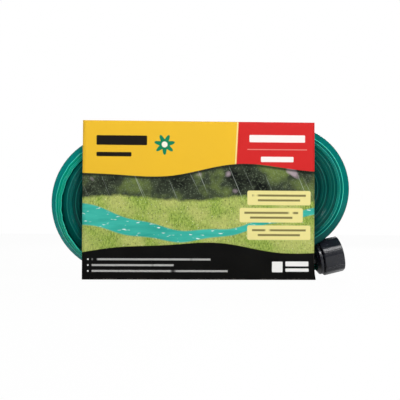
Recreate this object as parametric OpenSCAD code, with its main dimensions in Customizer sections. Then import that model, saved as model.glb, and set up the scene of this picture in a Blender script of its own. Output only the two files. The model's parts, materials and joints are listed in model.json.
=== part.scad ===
// Flat soaker hose, wound in an oval coil and held in an open-ended card sleeve.
// The hose has a central tube and a tapered fin along each side. It is wound two layers
// deep, so one layer shows from the front and one from the back. A tap nut turns on one
// end, and a push-on cap closes the quick-connect nose at the other.
// +Z is up, the sleeve's printed front faces -Y, and z = 0 is the sleeve's underside.

/* [Hose] */
// Width of the hose over its two fins
hose_w = 23.5; // [20:0.5:25]
// Thickness of the hose over its tube
hose_t = 8.5; // [7:0.1:8.7]
// Thickness of a fin at its tip
fin_tip_t = 1.6; // [1:0.1:3]
// Width of the rounded crown of the tube
crown_w = 6; // [4:0.5:8]

/* [Coil] */
// Turns in each of the two layers
turns_per_layer = 6; // [3:1:6]
// Distance from one turn to the next
turn_pitch = 8.8; // [8.8:0.1:9.6]
// Gap between the front layer and the back layer
layer_gap = 0.5; // [0.3:0.1:2]
// Outer radius of the coil's left end
left_r = 72.5; // [68:0.5:84]
// Outer radius of the coil's right end
right_r = 66.2; // [66:0.1:80]
// Distance between the centres of the two ends, along X
end_span = 172.6; // [150:0.2:210]
// Height of the coil's lowest point
coil_lift = 6.3; // [5:0.1:12]
// How far the right end's centre stands above the left end's
coil_rise = 16.5; // [10:0.1:20]

/* [Sleeve] */
// Length of the sleeve along the coil
sleeve_w = 240; // [200:1:290]
// Thickness of the card
card_t = 0.6; // [0.4:0.1:1.2]
// Room between the coil and the card, front and back
sleeve_clear = 1.65; // [1.4:0.05:3]
// Room between the coil's highest point and the card
top_clear = 1.8; // [0.4:0.1:3]
// Outer radius of the card's four folds
fold_r = 1.2; // [1:0.1:2]
// Height of the glued overlap inside the back panel
flap_h = 16; // [10:1:30]
// Distance from the sleeve's middle to the coil's middle
sleeve_shift = -3.2; // [-10:0.1:4]

/* [Coil ties] */
// Width of a tie's strap
tie_w = 4.8; // [3:0.1:6]
// Thickness of a tie's strap
tie_t = 1.1; // [0.8:0.1:1.2]
// Side of a tie's square head
tie_head = 7; // [5:0.5:9]
// Height of a tie's head
tie_head_h = 5; // [4:0.5:7]
// Place of the two ties along the top run, from its left end
tie_places = [38, 118];

/* [Tap nut] */
// Distance across the nut's flats
nut_af = 36.6; // [34:0.2:37]
// Radius over the two grip ribs on each corner
nut_corner_r = 19.4; // [18.6:0.1:19.6]
// Length of the nut
nut_len = 21.5; // [20:0.5:26]
// Radius of a grip rib
nut_rib_r = 0.9; // [0.6:0.1:1.2]
// Distance between the two ribs of a corner
nut_rib_gap = 3.2; // [2.4:0.1:5]
// How far a rib stands out
nut_rib_rise = 0.4; // [0.2:0.1:0.6]
// Radius of the bore that takes the tap's thread
thread_r = 13.3; // [13.2:0.05:13.5]
// Length of that bore
thread_len = 13; // [10:0.5:14]
// Thickness of the nut's rear wall
nut_wall = 3; // [2.5:0.1:4]
// Rounding round the nut's rear end
nut_rear_round = 2.2; // [1:0.1:3]
// Rounding round the nut's mouth
nut_mouth_round = 1; // [0.5:0.1:1.5]

/* [Inlet tail] */
// Bore through the tail
tail_bore_r = 4.6; // [3.5:0.1:5]
// Radius of the tail where the nut turns on it
tail_neck_r = 8.6; // [7:0.1:9]
// Thickness of the tail's flange
flange_t = 2.4; // [2:0.1:3]
// Thickness of the flat washer
washer_t = 2.2; // [1.5:0.1:2.6]
// Running gap round the neck and the flange
turn_gap = 0.3; // [0.2:0.05:0.5]
// Length of the barbed spigot inside the hose
spigot_len = 24; // [16:1:30]
// Radius of the barbs
barb_r = 5.6; // [5.2:0.1:5.8]

/* [Inlet collar] */
// Radius of the collar's ring
collar_r = 16.8; // [14:0.1:17]
// Length of the collar's ring
collar_ring = 3.2; // [3:0.1:6]
// Length of the collar's cone
collar_cone = 2.4; // [2:0.1:8]
// Radius of the cone where the hose enters it
collar_mouth_r = 12.4; // [12:0.1:13]
// Gap between the collar and the nut
collar_gap = 1; // [0.8:0.1:2]

/* [Hose end] */
// Length of the end collar
end_collar_len = 12; // [9:0.5:14]
// Radius of the quick-connect nose
nose_r = 6.6; // [6:0.1:6.8]
// Length of the quick-connect nose
nose_len = 15; // [14:0.5:18]
// Thickness of the end cap's closed end
cap_end_t = 2; // [1.5:0.1:3]
// Running gap between the nose and the cap
cap_gap = 0.3; // [0.2:0.05:0.5]

/* [Hidden] */

hose_green = [0, 0.42, 0.36];
card_yellow = [0.95, 0.76, 0.2];
fitting_black = [0.15, 0.16, 0.17];
seal_grey = [0.08, 0.08, 0.08];
tie_natural = [0.86, 0.86, 0.84];

// The coil's outline is a belt round two circles of different radius.
coil_w = left_r + end_span + right_r;
left_c = [left_r - coil_w / 2, coil_lift + left_r];
right_c = [coil_w / 2 - right_r, left_c[1] + coil_rise];
span_len = norm(right_c - left_c);
span_tilt = atan2(coil_rise, end_span);
belt_taper = asin((left_r - right_r) / span_len);
end_steps = 20;
layer_pitch = hose_w + layer_gap;
coil_depth = layer_pitch + hose_w;
bundle_h = turns_per_layer * turn_pitch;
coil_top = max(left_c[1] + left_r, right_c[1] + right_r);

sleeve_h = coil_top + top_clear + card_t;
sleeve_d = coil_depth + 2 * sleeve_clear + 2 * card_t;

// The tail's flange runs free inside the nut's bore; the end's collar and cap cover the nose.
flange_r = thread_r - 0.4;
end_r = nose_r + 2.4;

// Depth of the middle of a layer, and the height at which the far end lies
layer_y = layer_pitch / 2;
end_z = end_r + 1;

// Where the nut's rear face stands, and how the fitting points: up, then away from the front
inlet_at = [127.6, -0.8, 21.9];
inlet_rise = 13;
inlet_turn = 6;
nut_roll = 12;

// Where the end collar's front face stands; the nose points along -X
end_at = [64, layer_y, end_z];

// Routes of the two leads: x, y, z, turn of the flat side about the hose, width
inlet_route = [
    [122.9, -1.3, 20.8, 90, hose_w - 2.5],
    [117, -1.9, 19.4, 90, hose_w],
    [110, -3.6, 17.6, 90, hose_w],
    [102, -6.6, 15.9, 84, hose_w],
    [93, -9.8, 14.2, 74, hose_w],
    [80, -layer_y - 0.6, 12.3, 58, hose_w],
    [65, -layer_y - 1, 10.2, 38, hose_w],
    [48, -layer_y - 0.2, 8, 18, hose_w],
    [30, -layer_y, 6.3, 6, hose_w],
    [10, -layer_y, 5.5, 0, hose_w],
    [-15, -layer_y, 5.4, 0, hose_w],
    [-40, -layer_y, 5.6, 0, hose_w],
    [-58, -layer_y, 6.8, 0, hose_w],
    [-72, -layer_y, 8.8, 0, hose_w],
    [-84, -layer_y, coil_lift + turn_pitch / 2, 0, hose_w]];
end_route = [
    [72, layer_y, end_z, 0, 12],
    [76, layer_y, end_z, 0, 12],
    [80, layer_y, end_z + 0.5, 0, hose_w],
    [86, layer_y, 13, 0, hose_w],
    [93, layer_y, 18.2, 0, hose_w],
    [101, layer_y, 25.4, 0, hose_w],
    [113, layer_y, 35.6, 0, hose_w],
    [122.5, layer_y, 42.8, 0, hose_w]];

// Outline of a rectangle with rounded corners, as points
function rounded(w, h, r, steps = 6) = [
    for (corner = [0 : 3])
        for (i = [0 : steps])
            let (sx = (corner == 0 || corner == 3) ? 1 : -1,
                 sy = corner < 2 ? 1 : -1,
                 a = 90 * corner + 90 * i / steps)
            [sx * (w / 2 - r) + r * cos(a), sy * (h / 2 - r) + r * sin(a)]];

// One side of one layer of turns: a fin tip for each turn, with a groove between two
function fin_side(y_tip, y_groove) = [
    for (k = [0 : turns_per_layer - 1])
        let (mid = -turn_pitch * (k + 0.5))
        for (p = [[mid + fin_tip_t / 2, y_tip],
                  [mid - fin_tip_t / 2, y_tip],
                  [mid - turn_pitch / 2, y_groove]])
            if (k < turns_per_layer - 1 || p[1] == y_tip)
                p];

// The wound bundle cut across, as [distance inwards from the outline, depth]
function bundle_section() =
    let (tip = coil_depth / 2,
         tube = layer_pitch / 2,
         groove = tube + crown_w / 2 + 1,
         valley = (hose_t - fin_tip_t) / 2)
    concat(
        [[0, -tube - crown_w / 2]],
        fin_side(-tip, -groove),
        [[-bundle_h, -tube - crown_w / 2], [-bundle_h, -tube + crown_w / 2],
         [-bundle_h + valley, 0],
         [-bundle_h, tube - crown_w / 2], [-bundle_h, tube + crown_w / 2]],
        [for (i = [3 * turns_per_layer - 2 : -1 : 0]) fin_side(tip, groove)[i]],
        [[0, tube + crown_w / 2], [0, tube - crown_w / 2],
         [-valley, 0],
         [0, -tube + crown_w / 2]]);

// Places where the bundle's section stands, in order round the belt: centre, radius, angle
function belt_stations() =
    let (top = 90 + span_tilt - belt_taper,
         bottom = span_tilt + belt_taper - 90,
         right_step = (top - bottom) / end_steps,
         left_step = (360 - top + bottom) / end_steps)
    concat(
        [for (i = [0 : end_steps]) [right_c, right_r, bottom + i * right_step]],
        [for (i = [0 : end_steps]) [left_c, left_r, top + i * left_step]]);

// The bundle's section set across the belt at one station
function bundle_at(station) = [
    for (q = bundle_section())
        [station[0][0] + (station[1] + q[0]) * cos(station[2]),
         q[1],
         station[0][1] + (station[1] + q[0]) * sin(station[2])]];

// The wound turns as one closed ring, with a groove between each turn and the next
module hose_coil() {
    stations = belt_stations();
    rings = len(stations);
    sides = len(bundle_section());
    color(hose_green)
        polyhedron(
            points = [for (st = stations) each bundle_at(st)],
            faces = [
                for (i = [0 : rings - 1])
                    for (j = [0 : sides - 1])
                        let (n = (j + 1) % sides, a = i * sides, b = ((i + 1) % rings) * sides)
                        for (f = [[a + j, a + n, b + n], [a + j, b + n, b + j]])
                            f],
            convexity = 12);
}

// The hose cut across, as [along its width, along its thickness]
function hose_section(w) =
    let (tip = w / 2, half = hose_t / 2, crown = crown_w / 2,
         root = crown + 2, root_t = half * 0.72)
    [[tip, fin_tip_t / 2], [root, root_t], [crown, half],
     [-crown, half], [-root, root_t], [-tip, fin_tip_t / 2],
     [-tip, -fin_tip_t / 2], [-root, -root_t], [-crown, -half],
     [crown, -half], [root, -root_t], [tip, -fin_tip_t / 2]];

function place(p) = [p[0], p[1], p[2]];

// Direction of a route at its point i
function heading(route, i) =
    let (last = len(route) - 1,
         a = place(route[max(i - 1, 0)]),
         b = place(route[min(i + 1, last)]))
    (b - a) / norm(b - a);

// The hose's section set across the route at its point i
function section_at(route, i) =
    let (t = heading(route, i),
         side = cross([0, 0, 1], t) / norm(cross([0, 0, 1], t)),
         up = cross(t, side),
         a = route[i][3])
    [for (q = hose_section(route[i][4]))
        let (u = q[0] * cos(a) - q[1] * sin(a),
             v = q[0] * sin(a) + q[1] * cos(a))
        place(route[i]) + u * side + v * up];

// A stretch of hose swept along a route
module hose_lead(route) {
    rings = len(route);
    sides = len(hose_section(hose_w));
    color(hose_green)
        polyhedron(
            points = [for (i = [0 : rings - 1]) each section_at(route, i)],
            faces = concat(
                [[for (j = [0 : sides - 1]) j]],
                [for (i = [0 : rings - 2])
                    for (j = [0 : sides - 1])
                        let (n = (j + 1) % sides, a = i * sides, b = a + sides)
                        for (f = [[a + j, b + j, b + n], [a + j, b + n, a + n]])
                            f],
                [[for (j = [sides - 1 : -1 : 0]) (rings - 1) * sides + j]]),
            convexity = 6);
}

module hose_inlet_lead() hose_lead(inlet_route);

module hose_end_lead() hose_lead(end_route);

// A printed card folded into an open-ended sleeve, with its glued overlap inside the back
module card_sleeve() {
    inner_r = fold_r - card_t;
    color(card_yellow)
        translate([sleeve_shift - sleeve_w / 2, 0, sleeve_h / 2])
            rotate([90, 0, 90])
                linear_extrude(height = sleeve_w)
                    union() {
                        difference() {
                            polygon(rounded(sleeve_d, sleeve_h, fold_r));
                            polygon(rounded(sleeve_d - 2 * card_t, sleeve_h - 2 * card_t, inner_r));
                        }
                        translate([sleeve_d / 2 - 1.9 * card_t, fold_r - sleeve_h / 2])
                            square([card_t, flap_h]);
                    }
}

// A cable tie round the top run of the coil, with its head in the coil's hole
module coil_tie(along) {
    fit = 0.15;
    inner_h = bundle_h + 2 * fit;
    inner_w = coil_depth + 2 * fit;
    top = 90 + span_tilt - belt_taper;
    color(tie_natural)
        translate([left_c[0], 0, left_c[1]])
            rotate([0, 90 - top, 0])
                translate([along, 0, left_r - bundle_h / 2])
                    rotate([90, 0, 90])
                        translate([0, 0, -tie_w / 2])
                            union() {
                                linear_extrude(height = tie_w)
                                    difference() {
                                        polygon(rounded(inner_w + 2 * tie_t, inner_h + 2 * tie_t, 3.4));
                                        polygon(rounded(inner_w, inner_h, 2.3));
                                    }
                                translate([-tie_head / 2, -inner_h / 2 - tie_head_h, (tie_w - tie_head) / 2])
                                    cube([tie_head, tie_head_h, tie_head]);
                            }
}

module coil_tie_left() coil_tie(tie_places[0]);

module coil_tie_right() coil_tie(tie_places[1]);

// Sets a piece on the inlet's axis, with z = 0 on the nut's rear face and +z out of its mouth
module on_inlet() {
    translate(inlet_at)
        rotate([0, 90 - inlet_rise, inlet_turn])
            children();
}

// Sets a piece on the hose end's axis, with z = 0 on the collar's front face and +z out of the nose
module on_end() {
    translate(end_at)
        rotate([0, -90, 0])
            children();
}

// Points of a rounded edge on a turned profile, as [radius, height]
function edge(x, z, r, first, last, steps = 5) = [
    for (i = [0 : steps])
        let (a = first + (last - first) * i / steps)
        [x + r * cos(a), z + r * sin(a)]];

// Tap nut with six flats between its rounded corners, and a pair of grip ribs on each corner
module inlet_nut() {
    flange_room = nut_len - nut_wall - thread_len;
    color(fitting_black)
        on_inlet()
            rotate([0, 0, nut_roll])
                difference() {
                    intersection() {
                        linear_extrude(height = nut_len)
                            union() {
                                intersection() {
                                    circle(r = nut_corner_r - nut_rib_rise, $fn = 144);
                                    circle(r = nut_af / 2 / cos(30), $fn = 6);
                                }
                                for (i = [0 : 5])
                                    for (side = [-1, 1])
                                        rotate([0, 0, 60 * i])
                                            translate([nut_corner_r - nut_rib_r, side * nut_rib_gap / 2])
                                                circle(r = nut_rib_r, $fn = 24);
                            }
                        rotate_extrude($fn = 144)
                            polygon(concat(
                                [[0, 0]],
                                edge(nut_corner_r - nut_rear_round, nut_rear_round, nut_rear_round, -90, 0),
                                edge(nut_corner_r - nut_mouth_round, nut_len - nut_mouth_round,
                                     nut_mouth_round, 0, 90),
                                [[0, nut_len]]));
                    }
                    translate([0, 0, -1])
                        cylinder(r = tail_neck_r + turn_gap, h = nut_wall + 2, $fn = 72);
                    translate([0, 0, nut_wall])
                        cylinder(r = thread_r + turn_gap, h = flange_room, $fn = 96);
                    translate([0, 0, nut_len - thread_len])
                        cylinder(r = thread_r, h = thread_len + 1, $fn = 96);
                }
}

// Barbed tail that the nut turns on: its flange is held between the nut's wall and the washer
module inlet_tail() {
    flange_z = nut_wall + turn_gap;
    neck_z = -collar_gap - collar_ring;
    barbs = 4;
    barb_pitch = spigot_len / barbs;
    color(fitting_black)
        on_inlet()
            difference() {
                union() {
                    translate([0, 0, flange_z])
                        cylinder(r = flange_r, h = flange_t, $fn = 96);
                    translate([0, 0, neck_z])
                        cylinder(r = tail_neck_r, h = flange_z - neck_z + 0.5, $fn = 72);
                    translate([0, 0, neck_z - spigot_len])
                        cylinder(r = tail_bore_r + 0.6, h = spigot_len + 0.5, $fn = 48);
                    for (i = [0 : barbs - 1])
                        translate([0, 0, neck_z - spigot_len + i * barb_pitch])
                            cylinder(r1 = tail_bore_r + 0.7, r2 = barb_r, h = barb_pitch * 0.8, $fn = 48);
                }
                translate([0, 0, neck_z - spigot_len - 1])
                    cylinder(r = tail_bore_r, h = spigot_len + flange_z + flange_t - neck_z + 2, $fn = 48);
            }
}

// Flat rubber washer that the tap's end seals on
module inlet_washer() {
    color(seal_grey)
        on_inlet()
            translate([0, 0, nut_wall + turn_gap + flange_t])
                difference() {
                    cylinder(r = flange_r, h = washer_t, $fn = 96);
                    translate([0, 0, -1])
                        cylinder(r = tail_bore_r + 2.4, h = washer_t + 2, $fn = 72);
                }
}

// Moulded collar that covers the cut end of the hose: a cone, then a ring behind the nut
module inlet_collar() {
    ring_z = -collar_gap - collar_ring;
    cone_z = ring_z - collar_cone;
    color(fitting_black)
        on_inlet()
            difference() {
                rotate_extrude($fn = 96)
                    polygon([
                        [tail_neck_r, -collar_gap],
                        [tail_neck_r, ring_z],
                        [barb_r + 1, ring_z - 0.6],
                        [barb_r + 1, cone_z],
                        [collar_mouth_r, cone_z],
                        [collar_r - 0.8, ring_z],
                        each edge(collar_r - 0.6, ring_z + 0.6, 0.6, -60, 0, 3),
                        each edge(collar_r - 0.8, -collar_gap - 0.8, 0.8, 0, 90)]);
                translate([0, 0, cone_z - 1])
                    linear_extrude(height = collar_cone + 0.4)
                        square([hose_w + 0.4, hose_t + 0.6], center = true);
            }
}

// Quick-connect tail: a barbed spigot in the hose, a seat for the collar and a grooved nose
module end_tail() {
    groove_z = nose_len - 8.4;
    color(fitting_black)
        on_end()
            difference() {
                rotate_extrude($fn = 72)
                    polygon([
                        [0, -spigot_len],
                        [tail_bore_r - 0.6, -spigot_len],
                        [tail_bore_r, -spigot_len + 4.5],
                        [tail_bore_r - 0.8, -spigot_len + 4.5],
                        [tail_bore_r, -spigot_len + 9.5],
                        [tail_bore_r - 0.8, -spigot_len + 9.5],
                        [tail_bore_r - 0.8, 0],
                        [nose_r + 1.2, 0],
                        [nose_r + 1.2, 1.6],
                        [nose_r - 1, 1.6],
                        [nose_r - 1, 3.6],
                        [nose_r, 4.6],
                        [nose_r, groove_z],
                        [nose_r - 1.6, groove_z],
                        [nose_r - 1.6, groove_z + 2.4],
                        [nose_r, groove_z + 2.4],
                        [nose_r, nose_len - 1.5],
                        [nose_r - 1.2, nose_len],
                        [0, nose_len]]);
                translate([0, 0, -spigot_len - 1])
                    cylinder(r = tail_bore_r - 1.8, h = spigot_len + nose_len + 2, $fn = 48);
            }
}

// Collar that clamps the hose onto the end tail, with shallow grip flutes
module end_collar() {
    flutes = 12;
    color(fitting_black)
        on_end()
            difference() {
                rotate_extrude($fn = 72)
                    polygon([
                        [tail_bore_r, -end_collar_len],
                        [end_r - 1, -end_collar_len],
                        [end_r, -end_collar_len + 1],
                        [end_r, -0.8],
                        [end_r - 0.8, 0],
                        [tail_bore_r, 0]]);
                for (i = [0 : flutes - 1])
                    rotate([0, 0, 360 * i / flutes])
                        translate([end_r + 0.9, 0, -end_collar_len + 2.2])
                            cylinder(r = 1.5, h = end_collar_len - 4, $fn = 24);
            }
}

// Seal in the nose's groove
module end_o_ring() {
    groove_z = nose_len - 8.4;
    color(seal_grey)
        on_end()
            translate([0, 0, groove_z + 1.2])
                rotate_extrude($fn = 72)
                    translate([nose_r - 0.7, 0])
                        circle(r = 0.9, $fn = 24);
}

// Cap pushed over the nose, with a pull rim at its open end
module end_cap() {
    color(fitting_black)
        on_end()
            difference() {
                rotate_extrude($fn = 72)
                    polygon([
                        [0, 2],
                        [end_r, 2],
                        [end_r, 4],
                        [end_r - 0.8, 4.8],
                        [end_r - 0.8, nose_len + cap_gap + cap_end_t - 1.2],
                        [end_r - 2, nose_len + cap_gap + cap_end_t],
                        [0, nose_len + cap_gap + cap_end_t]]);
                translate([0, 0, 1])
                    cylinder(r = nose_r + cap_gap, h = nose_len + cap_gap - 1, $fn = 72);
            }
}

card_sleeve();
hose_coil();
hose_inlet_lead();
hose_end_lead();
coil_tie_left();
coil_tie_right();
inlet_tail();
inlet_collar();
inlet_nut();
inlet_washer();
end_tail();
end_collar();
end_o_ring();
end_cap();
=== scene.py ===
# %% [markdown]
# # A flat soaker hose, coiled in its card sleeve
# The real thing is 7.5 m of flat green hose, wound in an oval coil and slipped into a folded card. A black tap
# nut turns on the end that shows, and a capped push-in nose is tucked away under the coil at the other end.
# The frame brings the rigid pieces at their real size. Here they get their finish, and the soft pieces, the hose
# and the card, are modelled as the maker makes them: the hose by winding it, the card by folding a flat blank.

# %% Load the frame
import json
from math import asin, atan2, ceil, cos, degrees, pi, radians, sin, sqrt

import bmesh
import bpy
import numpy as np
from mathutils import Matrix, Vector


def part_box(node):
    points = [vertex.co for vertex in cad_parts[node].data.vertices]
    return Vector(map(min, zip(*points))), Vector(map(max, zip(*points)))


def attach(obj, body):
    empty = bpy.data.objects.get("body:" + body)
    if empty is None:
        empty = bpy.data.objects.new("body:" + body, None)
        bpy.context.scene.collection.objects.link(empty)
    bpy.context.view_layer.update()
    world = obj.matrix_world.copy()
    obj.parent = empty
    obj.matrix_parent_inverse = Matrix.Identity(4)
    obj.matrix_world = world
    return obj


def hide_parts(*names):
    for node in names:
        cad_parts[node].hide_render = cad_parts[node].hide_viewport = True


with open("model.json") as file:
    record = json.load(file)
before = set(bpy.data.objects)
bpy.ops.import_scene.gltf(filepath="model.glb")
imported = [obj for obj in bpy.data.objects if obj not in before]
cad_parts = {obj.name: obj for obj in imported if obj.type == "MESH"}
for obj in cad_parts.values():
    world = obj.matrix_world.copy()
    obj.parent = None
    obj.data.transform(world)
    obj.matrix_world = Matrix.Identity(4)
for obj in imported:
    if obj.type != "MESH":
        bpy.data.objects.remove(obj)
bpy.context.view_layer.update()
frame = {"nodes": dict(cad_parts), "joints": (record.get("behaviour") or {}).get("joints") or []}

# %% [markdown]
# ## The camera
# A long lens about a metre away, a little to the left of the middle and a little below it, which is how a pack is
# usually shown in a shop: nearly square on, with only a hint of perspective.

# %% Camera
MM = 0.001
CAMERA_AWAY = 1.0
CAMERA_LEFT = radians(3.41)
CAMERA_BELOW = radians(1.15)
CAMERA_ROLL = radians(0.31)
CAMERA_LENS = 87.1
NEAR_CLIP = 0.01
AIM = Vector((-0.0023, -0.026, 0.0824))

look = Vector((sin(CAMERA_LEFT) * cos(CAMERA_BELOW), cos(CAMERA_LEFT) * cos(CAMERA_BELOW), sin(CAMERA_BELOW)))
camera = bpy.data.objects.new("camera", bpy.data.cameras.new("camera"))
camera.data.lens = CAMERA_LENS
camera.data.clip_start = NEAR_CLIP
camera.matrix_world = (Matrix.Translation(AIM - CAMERA_AWAY * look)
                       @ look.to_track_quat("-Z", "Y").to_matrix().to_4x4()
                       @ Matrix.Rotation(CAMERA_ROLL, 4, "Z"))
bpy.context.collection.objects.link(camera)
bpy.context.scene.camera = camera
print(f"camera {CAMERA_AWAY} m away with a {CAMERA_LENS} mm lens")


# %% A piece from a finished mesh
def add_piece(name, mesh):
    piece = bpy.data.objects.new(name, mesh)
    bpy.context.collection.objects.link(piece)
    return piece


def add_bmesh(name, bm):
    """Ends a bmesh: its shape becomes a piece of this name."""
    mesh = bpy.data.meshes.new(name)
    bm.to_mesh(mesh)
    bm.free()
    return add_piece(name, mesh)

# %% [markdown]
# ## The route of the hose
# The coil is a belt: two round ends of slightly different size, joined by two straight runs. The hose comes in
# from the tap nut along the bottom, winds inwards through the front layer, crosses to the back layer on the
# innermost bottom run and winds outwards again. Every turn changes its place on the bottom run, behind the
# card, so the turns that show at both ends are neat and parallel.

# %% Sizes of the hose and the coil
HOSE_W = 23.5 * MM
HOSE_T = 8.5 * MM
TURNS = 6
PITCH = 8.8 * MM
LAYER_Y = 12 * MM
LEFT_R, RIGHT_R = 72.5 * MM, 66.2 * MM
END_SPAN = 172.6 * MM
COIL_LIFT, COIL_RISE = 6.3 * MM, 16.5 * MM

coil_w = LEFT_R + END_SPAN + RIGHT_R
left_c = Vector((LEFT_R - coil_w / 2, 0, COIL_LIFT + LEFT_R))
right_c = Vector((coil_w / 2 - RIGHT_R, 0, left_c.z + COIL_RISE))
tilt = atan2(COIL_RISE, END_SPAN)
taper = asin((LEFT_R - RIGHT_R) / (right_c - left_c).length)
TOP = pi / 2 + tilt - taper
BOTTOM = tilt + taper - pi / 2
print(f"coil {coil_w:.4f} m long, tilted {degrees(tilt):.1f} degrees")

# The two leads, as points that the hose follows: x, y, z in millimetres, and the turn of its flat side in degrees.
INLET_ROUTE = [
    (122.9, -1.3, 20.8, 90), (117, -1.9, 19.4, 90), (110, -3.6, 17.6, 90), (102, -6.6, 15.9, 84),
    (93, -9.8, 14.2, 74), (80, -12.6, 12.3, 58), (65, -13, 10.2, 38), (48, -12.2, 8, 18), (30, -12, 6.3, 6),
    (10, -12, 5.5, 0), (-15, -12, 5.4, 0), (-40, -12, 5.6, 0), (-58, -12, 6.8, 0), (-72, -12, 8.8, 0)]
END_ROUTE = [
    (113, 12, 35.6, 0), (101, 12, 25.4, 0), (93, 12, 18.2, 0), (86, 12, 13, 0), (80, 12, 10.5, 0),
    (76, 12, 10, 0), (72, 12, 10, 0)]


# %% The centreline, from the tap nut to the far end
STEP = 5.5 * MM
DODGE = 1.15
FIRST, LAST = radians(-91), radians(-54)


def smooth(t):
    """0 to 1, starting and ending gently."""
    return t * t * (3 - 2 * t)


def on_end(centre, radius, angle, y):
    return Vector((centre.x + radius * cos(angle), y, centre.z + radius * sin(angle)))


def arc(centre, radius, first, last, y):
    """Points round one end of the coil, without the last one."""
    count = max(2, ceil(abs(last - first) * radius / STEP))
    return [on_end(centre, radius, first + (last - first) * i / count, y) for i in range(count)]


def wind(turn, y, start, end_level, end_y, last):
    """One turn, clockwise: round the left end, along the top, round the right end and back along the bottom.

    On the way back it moves to end_level and end_y, with a dodge of its own where it changes layer.
    """
    inset = (turn + 0.5) * PITCH
    points = arc(left_c, LEFT_R - inset, start, TOP, y)
    a, b = on_end(left_c, LEFT_R - inset, TOP, y), on_end(right_c, RIGHT_R - inset, TOP, y)
    count = ceil((b - a).length / (3 * STEP))
    points += [a.lerp(b, i / count) for i in range(count)]
    points += arc(right_c, RIGHT_R - inset, TOP, last, y)
    if end_level is None:
        return points
    count = ceil(END_SPAN / (2 * STEP))
    dodge = DODGE if end_y != y else 0
    for i in range(count):
        t = i / count
        level = turn + (end_level - turn) * smooth(t) + dodge * sin(pi * t)
        depth = (level + 0.5) * PITCH
        a, b = on_end(right_c, RIGHT_R - depth, BOTTOM, 0), on_end(left_c, LEFT_R - depth, BOTTOM, 0)
        here = a.lerp(b, t)
        here.y = y + (end_y - y) * smooth(t)
        points.append(here)
    return points


lead_in = [Vector(p[:3]) * MM for p in INLET_ROUTE]
lead_out = [Vector(p[:3]) * MM for p in END_ROUTE]
coil = []
for turn in range(TURNS):
    innermost = turn == TURNS - 1
    start = FIRST if turn == 0 else BOTTOM
    coil += wind(turn, -LAYER_Y, start + 2 * pi, turn if innermost else turn + 1,
                 LAYER_Y if innermost else -LAYER_Y, BOTTOM)
for turn in reversed(range(TURNS)):
    outermost = turn == 0
    coil += wind(turn, LAYER_Y, BOTTOM + 2 * pi, None if outermost else turn - 1,
                 LAYER_Y, LAST if outermost else BOTTOM)


# %% Smooth the whole route and space its points evenly
def even_path(points, step):
    """Points a step apart on a smooth curve through the given ones, whose columns after the third ride along."""
    p = np.array(points, float)
    gaps = np.maximum(np.linalg.norm(np.diff(p[:, :3], axis=0), axis=1), 1e-6)
    slopes = np.gradient(p, np.concatenate([[0], np.cumsum(gaps)]), axis=0)
    fine = []
    for i, gap in enumerate(gaps):
        t = np.linspace(0, 1, max(2, int(gap / (0.2 * step))), endpoint=False)[:, None]
        fine.append((2 * t**3 - 3 * t**2 + 1) * p[i] + (t**3 - 2 * t**2 + t) * gap * slopes[i]
                    + (3 * t**2 - 2 * t**3) * p[i + 1] + (t**3 - t**2) * gap * slopes[i + 1])
    fine = np.concatenate(fine + [p[-1:]])
    along = np.concatenate([[0], np.cumsum(np.linalg.norm(np.diff(fine[:, :3], axis=0), axis=1))])
    at = np.linspace(0, along[-1], ceil(along[-1] / step) + 1)
    return np.stack([np.interp(at, along, fine[:, k]) for k in range(p.shape[1])], axis=1), at


PINCHED_IN, PINCHED_OUT = 21 * MM, 12 * MM
twists = [p[3] for p in INLET_ROUTE] + [0] * len(coil) + [p[3] for p in END_ROUTE]
widths = [PINCHED_IN] + [HOSE_W] * (len(twists) - 3) + [PINCHED_OUT] * 2
route = [(*place, radians(twist), width)
         for place, twist, width in zip(lead_in + coil + lead_out, twists, widths)]
route, along = even_path(route, STEP)
print(f"hose route {along[-1]:.3f} m in {len(route)} rings")


# %% [markdown]
# ## The hose
# The real hose is one extrusion: a tube down the middle and a wide-based fin on each side, with fine ribs along it.
# It is wound on edge, and at the coil's round ends each soft fin curls over towards the middle and shows its flat
# side. A sweep of one fixed section along a curve could make the tube, but not the curl, so the section is set on
# every point of the route, with its fins curled there as much as they need. A slow, small wander keeps the turns
# from looking machined, because soft PVC never lies quite true.

# %% The hose's cross-section
FIN_ROOT = 2.9 * MM
FIN_BASE_T, FIN_TIP_T = 2.5 * MM, 0.8 * MM
FIN_TAPER = 1.3
TALLEST_RIB = 0.34 * MM
RIBS = ((3.5 * MM, TALLEST_RIB), (6.1 * MM, 0.24 * MM), (7.3 * MM, 0.1 * MM))
RIB_W = 0.42 * MM
FIN_REACH = 12 * MM
CURL_SPAN = 5 * MM


def hose_outline(width):
    """Points round the hose, clockwise: (across, thickness) pairs, with a round tube, tapered fins and fine ribs."""
    tube, flank = HOSE_T / 2, width / 2 - FIN_TIP_T
    upper = [(x, sqrt(tube**2 - x**2)) for x in (0, 0.35 * FIN_ROOT, 0.7 * FIN_ROOT, FIN_ROOT)]
    for place, rise in RIBS:
        for offset, extra in ((-RIB_W, 0), (0, rise), (RIB_W, 0)):
            x = FIN_ROOT + place + offset
            share = (x - FIN_ROOT) / (flank - FIN_ROOT)
            upper.append((x, FIN_TIP_T + (FIN_BASE_T - FIN_TIP_T) * max(1 - share, 0)**FIN_TAPER + extra))
    upper += [(flank + FIN_TIP_T * cos(q), FIN_TIP_T * sin(q)) for q in (pi / 2, pi / 3, pi / 6, 0)]
    right = upper + [(x, -y) for x, y in reversed(upper[:-1])]
    left = [(-x, y) for x, y in reversed(right[1:-1])]
    return np.array(right + left)[::-1]


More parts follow.
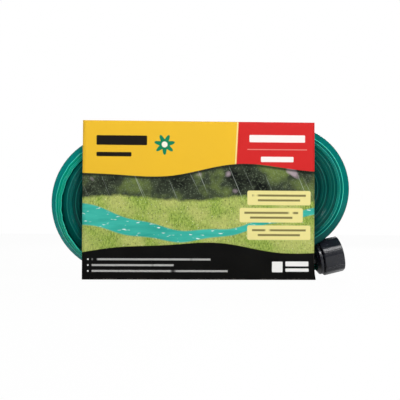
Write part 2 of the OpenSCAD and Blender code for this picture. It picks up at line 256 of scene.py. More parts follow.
def curled(shape, angle):
    """The same outline with the fin on one side (across > 0) curled over by this angle, mostly near its root."""
    s = np.linspace(0, FIN_REACH, 60)
    turn = angle * smooth(np.clip(s / CURL_SPAN, 0, 1))
    step = s[1] - s[0]
    out, over = np.cumsum(np.cos(turn)) * step, np.cumsum(np.sin(turn)) * step
    along_fin = np.maximum(shape[:, 0] - FIN_ROOT, 0)
    q = np.interp(along_fin, s, turn)
    x = np.interp(along_fin, s, out) - step + FIN_ROOT - shape[:, 1] * np.sin(q)
    y = np.interp(along_fin, s, over) + shape[:, 1] * np.cos(q)
    on_fin = shape[:, 0] > FIN_ROOT
    return np.where(on_fin[:, None], np.stack([x, y], axis=1), shape)


def wander(s, seed, longest, shortest):
    """A slow wave along the hose, between about -1 and 1, that never quite repeats."""
    waves = np.random.default_rng(seed).uniform(size=(6, 2))
    total = np.zeros_like(s)
    for k, (length, phase) in enumerate(waves):
        span = shortest + (longest - shortest) * length
        total += np.sin(2 * pi * (s / span + phase)) * (0.6 + 0.4 * (k % 2))
    return total / 3


# %% How the hose lies along its route
SIDE_CURL, END_CURL, CURL_WANDER = radians(18), radians(77), radians(5)
END_ROLL, ROLL_WANDER = radians(20), radians(1.6)
LEFT_EXTRA, GATHER, GATHER_LENGTH = radians(3), radians(9), 0.0165
OUTER_SLACK, LIFT_WANDER = 0.75 * MM, 0.12 * MM
ENDS_FROM, ENDS_OVER = 0.062, 0.04
STIFF_START, SETTLE_OVER = 0.2, 0.2
STIFF_END, UNSETTLE_OVER = 0.05, 0.1


def nested(line):
    """How far inside the coil each point is: 0 on its outline, 1 at the innermost turn."""
    span = right_c.x - left_c.x
    t = np.clip((line[:, 0] - left_c.x) / span, 0, 1)
    off = np.hypot(line[:, 0] - left_c.x - t * span, line[:, 2] - left_c.z - t * COIL_RISE)
    return np.clip((LEFT_R + (RIGHT_R - LEFT_R) * t - off) / (TURNS * PITCH), 0, 1)


def pose(route, along):
    """How the hose lies at each point: its roll, how far it is lifted, and the curl of its front and back fin."""
    line = route[:, :3]
    free = np.clip((along - STIFF_START) / SETTLE_OVER, 0, 1)
    free = free * np.clip((along[-1] - STIFF_END - along) / UNSETTLE_OVER, 0, 1)
    depth = np.clip(line[:, 1] / LAYER_Y, -1, 1)
    round_end = smooth(np.clip((np.abs(line[:, 0]) - ENDS_FROM) / ENDS_OVER, 0, 1))
    outer = np.exp(-(nested(line) * TURNS - 0.5)**2)
    left = line[:, 0] < 0
    gather = outer * round_end * np.sin(2 * pi * along / GATHER_LENGTH + 2.5 * wander(along, 17, 0.12, 0.05))
    roll = route[:, 3] + free * (ROLL_WANDER * wander(along, 3, 0.45, 0.12) - depth * round_end * END_ROLL)
    lift = free * (LIFT_WANDER * wander(along, 5, 0.5, 0.1) - OUTER_SLACK * outer * round_end)
    curl = free * (SIDE_CURL + (END_CURL + LEFT_EXTRA * left - SIDE_CURL) * round_end
                   + CURL_WANDER * wander(along, 7, 0.22, 0.06) + GATHER * gather * left)
    return roll, lift, curl * np.maximum(-depth, 0), curl * np.maximum(depth, 0)


def section_rings(route, along):
    """The cross-section set on each point of the route: one ring of points in space for each."""
    line = route[:, :3]
    tangent = np.gradient(line, along, axis=0)
    tangent /= np.linalg.norm(tangent, axis=1)[:, None]
    front = np.array([0, -1.0, 0])
    side = front - tangent * (tangent @ front)[:, None]
    side /= np.linalg.norm(side, axis=1)[:, None]
    up = np.cross(tangent, side)
    rings = []
    for i, (roll, lift, front_curl, back_curl) in enumerate(zip(*pose(route, along))):
        shape = curled(hose_outline(route[i, 4]), front_curl)
        shape = curled(shape * (-1, 1), back_curl) * (-1, 1)
        across, thick = shape[:, 0], shape[:, 1] + lift
        c, s = cos(roll), sin(roll)
        rings.append(line[i] + np.outer(across * c - thick * s, side[i]) + np.outer(across * s + thick * c, up[i]))
    return rings


# %% Build the tube
def hose_mesh(name, route, along):
    """The rings joined into a closed tube, with a UV map that is round the hose and along it."""
    rings = section_rings(route, along)
    count, sides = len(rings), len(rings[0])
    here = (np.arange(count - 1)[:, None] * sides + np.arange(sides)).ravel()
    beside = (np.arange(count - 1)[:, None] * sides + (np.arange(sides) + 1) % sides).ravel()
    quads = np.stack([here, beside, beside + sides, here + sides], axis=1)
    caps = [list(range(sides))[::-1], list(range((count - 1) * sides, count * sides))]
    mesh = bpy.data.meshes.new(name)
    mesh.from_pydata(np.concatenate(rings).tolist(), [], quads.tolist() + caps)
    near, far = np.arange(sides) / sides, (np.arange(sides) + 1) / sides
    u = np.tile(np.stack([near, far, far, near], axis=1), (count - 1, 1))
    v = np.repeat(np.stack([along[:-1], along[:-1], along[1:], along[1:]], axis=1), sides, axis=0)
    uv = np.zeros((len(mesh.loops), 2))
    uv[:u.size] = np.stack([u.ravel(), v.ravel()], axis=1)
    mesh.uv_layers.new(name="along_hose").data.foreach_set("uv", uv.ravel())
    share = np.abs(hose_outline(HOSE_W)[:, 0]) / (HOSE_W / 2)
    for attribute, values in (("across", np.tile(share, count)), ("nested", np.repeat(nested(route), sides))):
        mesh.attributes.new(attribute, "FLOAT", "POINT").data.foreach_set("value", values)
    mesh.shade_smooth()
    return add_piece(name, mesh)


hose = hose_mesh("soaker_hose", route, along)
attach(hose, "hose")
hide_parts("hose_coil", "hose_inlet_lead", "hose_end_lead")
print(f"hose mesh: {len(hose.data.polygons)} faces")

# %% [markdown]
# ## A small kit for finishes
# A finish is a graph of shader nodes. Written as sums in Python it is far easier to read than boxes and cables:
# a Wire is the output of a node, and adding, scaling or comparing wires adds the Math nodes behind the scenes.


# %% Wires: shader nodes as Python sums
class Wire:
    """The output of a shader node, which can be used in sums with numbers and other wires."""

    def __init__(self, tree, socket=None):
        self.tree, self.socket = tree, socket

    def node(self, kind, settings=None, inputs=None, out=0):
        """Adds a node of this kind to the same tree and gives one of its outputs."""
        made = self.tree.nodes.new("ShaderNode" + kind)
        for name, value in (settings or {}).items():
            if name == "stops":
                ramp = made.color_ramp.elements
                for place, _ in value[1:-1]:
                    ramp.new(place)
                for element, (place, colour) in zip(ramp, value):
                    element.position, element.color = place, colour
            else:
                setattr(made, name, value)
        for name, value in (inputs or {}).items():
            if isinstance(value, Wire):
                self.tree.links.new(value.socket, made.inputs[name])
            else:
                made.inputs[name].default_value = value
        return Wire(self.tree, made.outputs[out])

    def sum(self, operation, *values):
        return self.node("Math", {"operation": operation}, dict(enumerate(values)))

    def __add__(self, other):
        return self.sum("ADD", self, other)

    def __sub__(self, other):
        return self.sum("SUBTRACT", self, other)

    def __rsub__(self, other):
        return self.sum("SUBTRACT", other, self)

    def __mul__(self, other):
        return self.sum("MULTIPLY", self, other)

    def __truediv__(self, other):
        return self.sum("DIVIDE", self, other)

    def __pow__(self, other):
        return self.sum("POWER", self, other)

    def __abs__(self):
        return self.sum("ABSOLUTE", self)

    def at_least(self, lowest):
        return self.sum("MAXIMUM", self, lowest)

    def sine(self):
        return self.sum("SINE", self)

    __radd__, __rmul__ = __add__, __mul__


# %% Masks and colours
def ink(red, green, blue):
    """A printed colour, given as 0 to 255, as the linear colour that a shader works in."""
    return (*[(c / 255 / 12.92) if c <= 10 else ((c / 255 + 0.055) / 1.055) ** 2.4 for c in (red, green, blue)], 1)


def past(value, edge, soft):
    """0 before the edge and 1 past it, over a soft border."""
    return value.node("MapRange", {"clamp": True}, {0: value, 1: edge - soft, 2: edge + soft}, 0)


def within(value, low, high, soft):
    return past(value, low, soft) * (1 - past(value, high, soft))


def patch(x, y, left, right, low, high, corner=0.0, soft=0.25):
    """A rounded rectangle as a mask."""
    across = (abs(x - (left + right) / 2) - ((right - left) / 2 - corner)).at_least(0)
    along = (abs(y - (low + high) / 2) - ((high - low) / 2 - corner)).at_least(0)
    return 1 - past((across * across + along * along) ** 0.5, corner, soft)


def blend(mask, under, over, how="MIX"):
    """One colour laid over another where the mask is 1."""
    return mask.node("Mix", {"data_type": "RGBA", "blend_type": how}, {0: mask, 6: under, 7: over}, 2)


def noise(at, scale, detail=2.0, rough=0.5, stretch=(1, 1, 1), out=0, shift=(0, 0, 0)):
    """Soft noise between 0 and 1 on a position, with a scale in repeats to the metre."""
    placed = at.node("Mapping", None, {"Vector": at, "Location": shift, "Scale": stretch})
    return at.node("TexNoise", None, {"Vector": placed, "Scale": scale, "Detail": detail, "Roughness": rough}, out)


def new_material(name, build, bump=0.0002, **fixed):
    """A Principled material. build gives the wires for its sockets by name, and a Height for its bump."""
    made = bpy.data.materials.new(name)
    made.use_nodes = True
    tree = made.node_tree
    shader = tree.nodes["Principled BSDF"]
    for socket, value in fixed.items():
        shader.inputs[socket.replace("_", " ")].default_value = value
    for socket, value in build(Wire(tree)).items():
        if socket == "Height":
            value = value.node("Bump", None, {"Height": value, "Distance": bump})
            socket = "Normal"
        tree.links.new(value.socket, shader.inputs[socket])
    return made


# %% [markdown]
# ## The hose's finish
# Soft PVC straight from the die: deep green, glossy and slightly clear. The moulded ribs and the fin edges carry a
# painted highlight, pale lines in the colour, most of all on the outermost turn. The coil is painted darker from
# turn to turn inwards and at the foot of its right end, and the two ends and the outer turn's fins get greens of
# their own. That is painted shade and light, set by the place in the coil, so it stays there under any light.
# Fine lines run along the hose from the die, and slow ripples across it break up the reflections.

# %% Hose material
def hose_finish(wire):
    across = wire.node("Attribute", {"attribute_name": "across"}, None, "Fac")
    place = wire.node("TexCoord", None, None, "Object")
    round_and_along = wire.node("UVMap", {"uv_map": "along_hose"})
    inside = wire.node("Attribute", {"attribute_name": "nested"}, None, "Fac")
    # painted shade and light by place: darker inwards and at the right end's foot, own greens per end and outer fin
    left = 1 - past(place.node("SeparateXYZ", None, {0: place}), 0, 0.05)
    above_floor = wire.node("SeparateXYZ", None, {0: place}, "Z")
    foot = (1 - left) * (1 - past(above_floor, 0.062, 0.02))
    outer = 1 - past(inside, 0.16, 0.03)
    body = blend(past(inside, 0.32, 0.2), blend(left, ink(0, 88, 80), ink(0, 98, 92)), ink(0, 57, 54))
    body = blend(outer, body, blend(left, ink(0, 118, 111), ink(0, 136, 130)))
    body = blend(outer * past(across, 0.55, 0.05), body, blend(left, ink(0, 104, 96), ink(0, 142, 116)))
    body = blend(foot * 0.85, body, ink(0, 62, 60))
    # painted highlight: pale lines on the ribs and the fin edges, strongest on the outer turn, weak at the foot
    ribs = past(across, 0.96, 0.02) * 0.5
    for out, rise in RIBS:
        middle = (FIN_ROOT + out) * 2 / HOSE_W
        ribs = within(across, middle - 0.018, middle + 0.018, 0.007) * (rise / TALLEST_RIB) + ribs
    ribs = ribs * (0.16 + outer * 0.84) * (1 - foot * 0.7)
    ribs = ribs * (0.6 + past(noise(round_and_along, 9, 2), 0.45, 0.15) * 0.4)
    body = blend(ribs * 0.9, body, ink(78, 236, 212))
    lines = noise(round_and_along, 60, 1, 0.4, (1, 0.02, 1))
    ripples = noise(round_and_along, 60, 2, 0.5, (0.12, 1, 1))
    slow = noise(round_and_along, 14, 1, 0.5, (0.3, 1, 1), shift=(3, 1, 0))
    return {"Base Color": body, "Roughness": 0.12 + noise(place, 60, 3) * 0.1,
            "Height": lines * 0.12 + ripples * 0.5 + slow * 1.6}


hose.data.materials.append(new_material("hose_green", hose_finish, bump=0.0009, Specular_IOR_Level=0.13,
                                        Subsurface_Weight=0.4, Subsurface_Scale=0.003))

# %% [markdown]
# ## The card sleeve
# The real sleeve is one flat blank of board, printed on one side, creased four times and glued to itself along a
# narrow flap. So it is modelled flat, as a grid whose UV map is the printer's own sheet, and then wrapped: each
# point keeps its place on the sheet and takes the place in space that the folds give it. The print then needs no
# unwrapping, and it runs round the corners as ink does.

# %% Sizes of the sleeve, from the CAD node
low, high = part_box("card_sleeve")
CARD_T = 0.6 * MM
FOLD_R = 0.9 * MM
FLAP_H = 16 * MM
FLAP_GLUE = 0.02 * MM
BACK_SHORT = 0.15 * MM
GRID = 5 * MM
COLUMNS = 60
card_left, card_right = low.x, high.x
card_w = card_right - card_left
wall = CARD_T / 2
front_y, back_y, base_z, roof_z = low.y + wall, high.y - wall, low.z + wall, high.z - wall
flap_y = back_y - CARD_T - FLAP_GLUE
print(f"sleeve {card_w:.4f} m wide, {high.z - low.z:.4f} m high and {high.y - low.y:.4f} m deep")


# %% The line that the blank is folded along
def folded_line(corners, radius, step):
    """A path through the corners, rounded at each one between its ends: (y, z) points a step or less apart."""
    heads = [(b - a).normalized() for a, b in zip(corners, corners[1:])]
    line = [corners[0]]
    for corner, ahead, after in zip(corners[1:], heads, heads[1:] + [None]):
        stop = corner - ahead * radius if after else corner
        start = line[-1]
        count = ceil((stop - start).length / step)
        line += [start.lerp(stop, i / count) for i in range(1, count + 1)]
        if after:
            centre = stop + after * radius
            line += [centre + radius * (ahead * sin(q) - after * cos(q))
                     for q in (pi / 8, pi / 4, 3 * pi / 8, pi / 2)]
    return line


section = folded_line([
    Vector((flap_y, base_z + FLAP_H)), Vector((flap_y, base_z)), Vector((front_y, base_z)),
    Vector((front_y, roof_z)), Vector((back_y, roof_z)), Vector((back_y, low.z + BACK_SHORT))], FOLD_R, GRID)
lengths = np.concatenate([[0], np.cumsum([(b - a).length for a, b in zip(section, section[1:])])])
foot = min(range(len(section)), key=lambda i: (section[i] - Vector((front_y, base_z))).length)
sheet_zero = lengths[foot]
panel_h, panel_d = roof_z - base_z, back_y - front_y
print(f"flat blank {card_w * 1000:.0f} x {lengths[-1] * 1000:.0f} mm")


# %% Cut the blank flat, then fold it
BOW = 0.7 * MM
SPRUNG, SPRUNG_W, SPRUNG_H = 1.9 * MM, 30 * MM, 16 * MM
LEAN, LEAN_W = 0.6 * MM, 70 * MM


def fading(distance, reach):
    """1 at no distance, falling evenly to 0 at the reach and beyond."""
    return max(0, 1 - distance / reach)


def relaxed(x, y, z):
    """How far off true soft board stands: panels a little bowed, one corner sprung open."""
    across, upward = (x - card_left) / card_w, (z - low.z) / panel_h
    swell = BOW * sin(pi * min(max(upward, 0), 1)) * (0.75 + 0.25 * sin(2 * pi * across + 0.6))
    out = -1 if y < 0 else 1
    corner = fading(card_right - x, SPRUNG_W) * fading(z - low.z, SPRUNG_H) * max(0, y / front_y)
    lean = fading(card_right - x, LEAN_W) * LEAN * upward
    return Vector((x + SPRUNG * corner**1.5, y + out * swell * (abs(y) / back_y)**4 - lean * (y < 0), z))


def card_sleeve():
    rows = len(section)
    bm = bmesh.new()
    bmesh.ops.create_grid(bm, x_segments=COLUMNS, y_segments=rows - 1, size=0.5)
    sheet = bm.loops.layers.uv.new("sheet")
    place = {}
    for vertex in bm.verts:
        row = round((vertex.co.y + 0.5) * (rows - 1))
        x = card_left + (vertex.co.x + 0.5) * card_w
        place[vertex] = (x - card_left, lengths[row] - sheet_zero)
        vertex.co = relaxed(x, *section[row])
    for face in bm.faces:
        for loop in face.loops:
            loop[sheet].uv = place[loop.vert]
    return add_bmesh("folded_card", bm)


card = card_sleeve()
panel_middle = Vector((0, front_y, panel_h / 2))
middle = min(card.data.polygons, key=lambda f: (f.center - panel_middle).length)
if middle.normal.y > 0:
    card.data.flip_normals()
card.data.shade_smooth()
board = card.modifiers.new("board", "SOLIDIFY")
board.thickness = CARD_T
board.offset = 0
board.use_even_offset = True
board.material_offset, board.material_offset_rim = 1, 2
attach(card, "sleeve")
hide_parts("card_sleeve")

# %% [markdown]
# ## The print
# The sheet carries a plain garden design of its own, drawn with masks on the blank's UV map in millimetres: a
# yellow and red heading, a meadow with a stream, pale plates and a black foot. Bars stand where words would be.
# Ink cracks along the creases, and the varnish is a little uneven, as on any printed board.


# %% Inks
YELLOW, RED, BLACK, CREAM = ink(240, 191, 48), ink(213, 42, 42), ink(3, 3, 3), ink(244, 240, 224)
DARK_BAR, PLATE = ink(24, 20, 16), ink(240, 229, 152)
HEADING_FOOT, HEADING_SPLIT = 112, 158
BACK_HEADING, BACK_FOOT = 26, 140


# %% The picture: a hedge, a meadow, a stream and rain
def garden(x, y, sheet):
    """The picture in the middle of the panel: a hedge, a meadow and a stream in light rain."""
    leaves = sheet.node("TexVoronoi", {"feature": "F1"}, {"Vector": sheet, "Scale": 520.0}, "Distance")
    bushes = noise(sheet, 24, 3, 0.6)
    hedge = blend(noise(sheet, 260, 5, 0.8), ink(8, 13, 9), ink(78, 88, 68))
    lit = blend(noise(sheet, 300, 4, 0.8), ink(54, 78, 26), ink(150, 168, 92))
    hedge = blend(past(bushes, 0.56, 0.07) * 0.8, hedge, lit)
    hedge = blend(1 - past(bushes, 0.42, 0.06), hedge, ink(10, 14, 12))
    hedge = blend((1 - past(leaves, 0.25, 0.2)) * 0.35, hedge, ink(142, 158, 128))
    hedge = blend(past(noise(sheet, 34, 2, 0.5, shift=(7, 2, 0)), 0.66, 0.03) * 0.7, hedge, ink(196, 176, 186))
    blades = noise(sheet, 420, 4, 0.8, (1.8, 0.5, 1))
    meadow = blend(past(blades, 0.5, 0.2), ink(52, 98, 14), ink(196, 216, 106))
    meadow = blend(past(noise(sheet, 40, 3), 0.5, 0.12) * 0.5, meadow, ink(212, 210, 130))
    meadow = blend(past(noise(sheet, 520, 2), 0.64, 0.05) * 0.6, meadow, ink(40, 66, 16))
    meadow = blend(past(noise(sheet, 700, 2, shift=(3, 5, 0)), 0.7, 0.04) * 0.8, meadow, ink(250, 250, 222))
    hedge_foot = 79 + 2.4 * (x * 0.045).sine() + 9 * noise(sheet, 60, 4, 0.7)
    view = blend(1 - past(y, hedge_foot, 1.6), hedge, meadow)
    bed = 58 + 13 * (x * 0.021 + 2.4).sine() + 1.2 * (x * 0.11).sine()
    half = 3.5 + 0.051 * (150 - x).at_least(0)
    water = 1 - past(abs(y - bed), half, 0.7)
    streaks = noise(sheet, 60, 3, 0.6, (0.35, 2.4, 1))
    flow = blend(streaks, ink(10, 138, 124), ink(84, 214, 196))
    flow = blend(past(noise(sheet, 260, 1, 0.5, (0.5, 1.4, 1)), 0.7, 0.05), flow, ink(232, 250, 246))
    return blend(water, view, flow)


def rain(x, y, slope, gap, shift):
    """Fine slanted lines, as rain shows in a picture."""
    slanted = x + slope * y + shift
    across = slanted.sum("PINGPONG", slanted, gap)
    return 1 - past(across, 0.22, 0.22)


# %% Bars in place of words
def bars(art, x, y, colour, corner, rows):
    """Plain bars, given as (left, right, level, size) in millimetres."""
    for left, right, level, size in rows:
        art = blend(patch(x, y, left, right, level - size / 2, level + size / 2, corner), art, colour)
    return art


def words(x, y, sheet, left, right, level, size):
    """A bar broken into pieces of uneven length, which stands for a line of words."""
    gaps = past(noise(sheet, 110 / size, 1, 0.5, (1, 0.001, 1), shift=(level, 0, 0)), 0.36, 0.03)
    return patch(x, y, left, right, level - size / 2, level + size / 2, 0.3, 0.3) * gaps


# %% The printed sheet, panel by panel
def flower(art, x, y, middle_x, middle_y):
    """A seven-petalled flower with a pale middle."""
    across, up = x - middle_x, y - middle_y
    ring = (across * across + up * up) ** 0.5
    petals = 8.2 + 2.6 * (up.sum("ARCTAN2", up, across) * 7).sine()
    art = blend(1 - past(ring, petals, 0.3), art, ink(16, 132, 90))
    return blend(1 - past(ring, 3, 0.3), art, ink(250, 246, 230))


def front_print(x, y, sheet):
    """The design of the front panel, with x and y in millimetres from its lower left corner."""
    art = garden(x, y, sheet)
    falling = (rain(x, y, 0.42, 17, 4) + rain(x, y, 0.5, 29, 9) * 0.6) * past(noise(sheet, 30, 2), 0.46, 0.1)
    art = blend(falling * within(y, 84, 116, 5) * 0.5, art, ink(214, 224, 214))
    wave = HEADING_FOOT + 6.5 * (x * 0.0235 + 3.6).sine() + 1.8 * (x * 0.05).sine()
    art = blend(within(y, wave - 2.6, wave, 0.9) * 0.75, art, ink(16, 22, 14))
    divide = HEADING_SPLIT + 0.05 * (y - HEADING_FOOT)
    heading = blend(past(x, divide, 0.3), YELLOW, RED)
    heading = blend(within(x, divide - 1.4, divide, 0.35), heading, ink(252, 226, 150))
    art = blend(past(y, wave, 0.3), art, heading)
    art = bars(art, x, y, DARK_BAR, 1.2, ((14, 66, 143, 10), (14, 50, 128.5, 4.5)))
    art = flower(art, x, y, 84, 139)
    art = bars(art, x, y, ink(252, 244, 240), 1, ((172, 230, 146, 7.5), (184, 218, 124.5, 5.5)))
    art = blend(patch(x, y, 170, 232, 134.3, 135.1), art, ink(246, 170, 160))
    for low_edge, left in ((77, 170), (59, 162), (41, 170)):
        art = blend(patch(x, y, left, left + 66, low_edge, low_edge + 15, 2), art, PLATE)
        for level, inset in ((low_edge + 10, 5), (low_edge + 5, 11)):
            art = blend(words(x, y, sheet, left + inset, left + 66 - inset, level, 2.1) * 0.8, art, ink(74, 66, 30))
    crest = 32 + 5.5 * (x * 0.0225 + 5.4).sine() + 1.5 * (x * 0.055).sine()
    art = blend(1 - past(y, crest, 0.4), art, BLACK)
    for level, right in ((20.5, 132), (14.5, 94), (8.5, 150)):
        art = blend(words(x, y, sheet, 10, right, level, 1.9) * 0.75, art, ink(206, 206, 204))
        art = blend(patch(x, y, 5.4, 6.9, level - 0.75, level + 0.75, 0.3), art, ink(240, 240, 238))
    return bars(art, x, y, ink(246, 246, 244), 0.8,
                ((196, 207, 13, 11), (210, 234, 16.2, 5), (210, 234, 9.8, 3.4)))


def back_print(x, y, sheet):
    """The plain back panel, with y in millimetres down from the top fold."""
    art = blend(past(y, BACK_HEADING, 0.3), YELLOW, CREAM)
    art = bars(art, x, y, DARK_BAR, 1.2, [(14, 84, 13.5, 9)])
    art = blend(within(y, BACK_HEADING, BACK_HEADING + 2.4, 0.3), art, RED)
    for column in (14, 126):
        art = blend(patch(x, y, column, column + 56, 37, 41.5, 0.8), art, ink(16, 120, 92))
        for row in range(10):
            right = column + 96 - (row * 37 % 29)
            art = blend(words(x, y, sheet, column, right, 50 + 8 * row, 2.2) * 0.8, art, ink(70, 70, 66))
    return blend(past(y, BACK_FOOT, 0.4), art, BLACK)


# %% Print and board
def print_finish(wire):
    uv = wire.node("UVMap", {"uv_map": "sheet"})
    x, y = uv.node("SeparateXYZ", None, {0: uv}) / MM, uv.node("SeparateXYZ", None, {0: uv}, "Y") / MM
    wide, roof, behind = card_w / MM, panel_h / MM, (panel_h + panel_d) / MM
    art = blend(past(y, behind, 0.2), front_print(x, y, uv), back_print(wide - x, y - behind, uv))
    heading = blend(past(x, HEADING_SPLIT + 3, 0.3), YELLOW, RED)
    art = blend(within(y, roof - 0.5, behind + 0.5, 0.2), art, heading)
    art = blend(1 - past(y, 0, 0.2), art, BLACK)
    speckle = noise(uv, 1400, 2, 0.6)
    worn = past(speckle, 0.56, 0.05) * past(noise(uv, 60, 2), 0.5, 0.1)
    creases = 0
    for fold in (0, roof, behind, roof + behind):
        creases = (1 - past(abs(y - fold), 0.55, 0.35)) + creases
    ends = past(abs(x - wide / 2), wide / 2 - 0.3, 0.25)
    art = blend((creases + ends * 0.5) * worn * 0.6, art, ink(214, 206, 190))
    art = blend(noise(uv, 30, 2) * 0.03, art, ink(128, 128, 124))
    return {"Base Color": art, "Roughness": 0.46 + noise(uv, 45, 3) * 0.12 + worn * 0.2,
            "Height": noise(uv, 9, 2) + speckle * 0.012}


def board_finish(wire):
    uv = wire.node("UVMap", {"uv_map": "sheet"})
    fibres = noise(uv, 420, 4, 0.7, (1, 2.5, 1))
    return {"Base Color": blend(fibres, ink(150, 142, 124), ink(196, 188, 170)),
            "Roughness": 0.82 + fibres * 0.1, "Height": fibres}


printed = new_material("printed_card", print_finish, bump=0.0006, Specular_IOR_Level=0.06)
raw_board = new_material("raw_board", board_finish, bump=0.00008)
for material in (printed, raw_board, raw_board):
    card.data.materials.append(material)

# %% [markdown]
# ## The black fittings
# Injection-moulded polypropylene: charcoal rather than black, satin, with the fine spark texture of its mould and
# scuffs where hands and taps have rubbed it. The solids come from the frame, so here they only get this finish.


# %% Finishes of the fittings
def plastic_finish(wire):
    place = wire.node("TexCoord", None, None, "Object")
    grain, clouds = noise(place, 1500, 2, 0.6), noise(place, 90, 3)
    scuffs = past(noise(place, 500, 3, 0.7, (0.3, 1, 1)), 0.64, 0.04) * past(clouds, 0.5, 0.1)
    body = blend(clouds, ink(22, 24, 31), ink(32, 34, 42))
    return {"Base Color": blend(scuffs * 0.5, body, ink(92, 94, 98)),
            "Roughness": 0.2 + clouds * 0.08 + scuffs * 0.2, "Height": grain * 0.6 + clouds}


def rubber_finish(wire):
    place = wire.node("TexCoord", None, None, "Object")
    dust = noise(place, 240, 4, 0.7)
    return {"Base Color": blend(dust, ink(24, 24, 24), ink(52, 51, 49)), "Roughness": 0.7 + dust * 0.15,
            "Height": noise(place, 2200, 2)}


def nylon_finish(wire):
    place = wire.node("TexCoord", None, None, "Object")
    clouds = noise(place, 120, 3)
    return {"Base Color": blend(clouds, ink(214, 212, 200), ink(236, 235, 228)), "Roughness": 0.34 + clouds * 0.16,
            "Height": noise(place, 900, 2)}


black = new_material("fitting_black", plastic_finish, bump=0.00006)
rubber = new_material("seal_rubber", rubber_finish, bump=0.00004)
nylon = new_material("tie_natural", nylon_finish, bump=0.00004)
for node, material in (("inlet_nut", black), ("inlet_tail", black), ("inlet_collar", black), ("end_tail", black),
                       ("end_collar", black), ("end_cap", black), ("inlet_washer", rubber), ("end_o_ring", rubber),
                       ("coil_tie_left", nylon), ("coil_tie_right", nylon)):
    for slot in frame["nodes"][node].material_slots:
        slot.material = material

# %% [markdown]
# ## The thread inside the nut
# A tap nut is known by its thread. The solid has a plain bore at the thread's root, which is what a simulator
# needs, so the ridge is added here: a small trapezium turned round the nut's axis as it climbs, one pitch a turn.

# %% Thread
THREAD_PITCH = 1.814 * MM
ROOT_R, CREST_R = 13.4 * MM, 12.15 * MM
THREAD_TURNS = 6
STEPS_A_TURN = 48
RUN_OUT = 0.3 * THREAD_PITCH
MOUTH_GAP = 1.2 * MM
NUT_MIDDLE_TO_MOUTH = 11.5 * MM
spin = next(joint for joint in frame["joints"] if joint["name"] == "nut_spin")
nut_axis = Vector(spin["axis"]).normalized()
nut_mouth = Vector(spin["pos_m"]) + nut_axis * NUT_MIDDLE_TO_MOUTH


def thread_ridge(name, mouth, axis):
    """A right-handed ridge inside a bore: one tooth swept round and drawn back along the axis, with run-outs."""
    bm = bmesh.new()
    flank_r = CREST_R + 0.1 * MM
    tooth = [(ROOT_R, 0.46), (flank_r, 0.11), (CREST_R, 0), (flank_r, -0.11), (ROOT_R, -0.46)]
    corners = [bm.verts.new((r, 0, z * THREAD_PITCH)) for r, z in tooth]
    face = bm.faces.new(corners)
    bmesh.ops.spin(bm, geom=[face, *face.edges, *face.verts], cent=(0, 0, 0), axis=(0, 0, 1),
                   angle=2 * pi * THREAD_TURNS, steps=STEPS_A_TURN * THREAD_TURNS,
                   dvec=(0, 0, THREAD_PITCH / STEPS_A_TURN), use_duplicate=False)
    length = THREAD_PITCH * THREAD_TURNS
    for v in bm.verts:
        flat = v.co.xy.length
        turned = atan2(v.co.y, v.co.x) % (2 * pi) / (2 * pi)
        level = v.co.z - turned * THREAD_PITCH
        progress = (round(level / THREAD_PITCH) + turned) * THREAD_PITCH
        fade = smooth(min(1, max(0, min(progress, length - progress)) / RUN_OUT))
        v.co.xy *= (ROOT_R - (ROOT_R - flat) * fade) / flat
    bmesh.ops.recalc_face_normals(bm, faces=bm.faces)
    turned_to_nut = axis.to_track_quat("Z", "Y").to_matrix().to_4x4()
    place = Matrix.Translation(mouth - axis * (length + MOUTH_GAP)) @ turned_to_nut
    bmesh.ops.transform(bm, matrix=place, verts=bm.verts)
    return add_bmesh(name, bm)


thread = thread_ridge("tap_nut_thread", nut_mouth, nut_axis)
thread.data.shade_smooth()
thread.data.materials.append(black)
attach(thread, "tap_nut")
print(f"thread of {THREAD_TURNS} turns, {THREAD_PITCH / MM:.3f} mm apart")

# %% [markdown]
# ## Floor, backdrop and light
# A pack in a shop's catalogue stands on white, under large soft lamps. The floor and the world are pale in their own
# right, and the camera sees them as almost pure white, so no extra light falls on the object to whiten them.

# %% Floor
FLOOR_HALF = 3.0
SHOWN, MIRRORED = 0.97, 0.15
bm = bmesh.new()
bmesh.ops.create_grid(bm, x_segments=1, y_segments=1, size=FLOOR_HALF)
floor = add_bmesh("floor", bm)


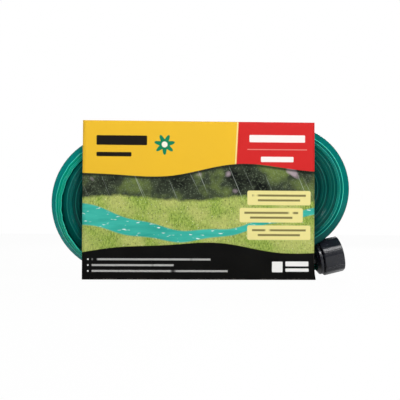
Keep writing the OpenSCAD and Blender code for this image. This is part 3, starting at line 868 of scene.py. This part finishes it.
def floor_material():
    made = bpy.data.materials.new("white_floor")
    made.use_nodes = True
    tree = made.node_tree
    pale = tree.nodes["Principled BSDF"]
    pale.inputs["Base Color"].default_value = (0.86, 0.86, 0.86, 1)
    pale.inputs["Roughness"].default_value = 0.6
    wire = Wire(tree)
    shown = wire.node("LightPath", None, None, "Is Camera Ray")
    white = wire.node("Emission", None, {"Color": (1, 1, 1, 1), "Strength": 1.0})
    mirrored = wire.node("LightPath", None, None, "Is Glossy Ray")
    through = wire.node("LightPath", None, None, "Is Transmission Ray")
    lit = shown * SHOWN + mirrored * MIRRORED + through * SHOWN
    mixed = wire.node("MixShader", None, {0: lit, 1: Wire(tree, pale.outputs[0]), 2: white})
    tree.links.new(mixed.socket, tree.nodes["Material Output"].inputs["Surface"])
    return made


floor.data.materials.append(floor_material())

# %% Lamps and world
LAMPS = (("key", (-0.6, -0.85, 0.75), 4.5, 0.22), ("fill", (0.75, -0.8, 0.5), 2.6, 0.22),
         ("top", (0.3, -0.72, 0.75), 3.6, 0.26), ("back", (0.25, 1.1, 0.6), 6, 0.5))
LIT_POINT = Vector((0, 0, 0.08))
WORLD, WORLD_SHOWN, WORLD_MIRRORED = 0.17, 0.83, 0.03
for name, place, power, size in LAMPS:
    light = bpy.data.lights.new(name, "AREA")
    light.energy = power
    light.size = size
    lamp = bpy.data.objects.new(name, light)
    aim = (LIT_POINT - Vector(place)).to_track_quat("-Z", "Y")
    lamp.matrix_world = Matrix.Translation(place) @ aim.to_matrix().to_4x4()
    bpy.context.collection.objects.link(lamp)
world = bpy.data.worlds.new("studio")
world.use_nodes = True
wire = Wire(world.node_tree)
background = world.node_tree.nodes["Background"]
background.inputs["Color"].default_value = (1, 1, 1, 1)
seen = wire.node("LightPath", None, None, "Is Camera Ray")
mirrored = wire.node("LightPath", None, None, "Is Glossy Ray")
strength = WORLD + seen * WORLD_SHOWN + mirrored * WORLD_MIRRORED
world.node_tree.links.new(strength.socket, background.inputs["Strength"])
bpy.context.scene.world = world
bpy.context.scene.view_settings.view_transform = "Standard"
print(f"{len(LAMPS)} lamps, world at {WORLD}")
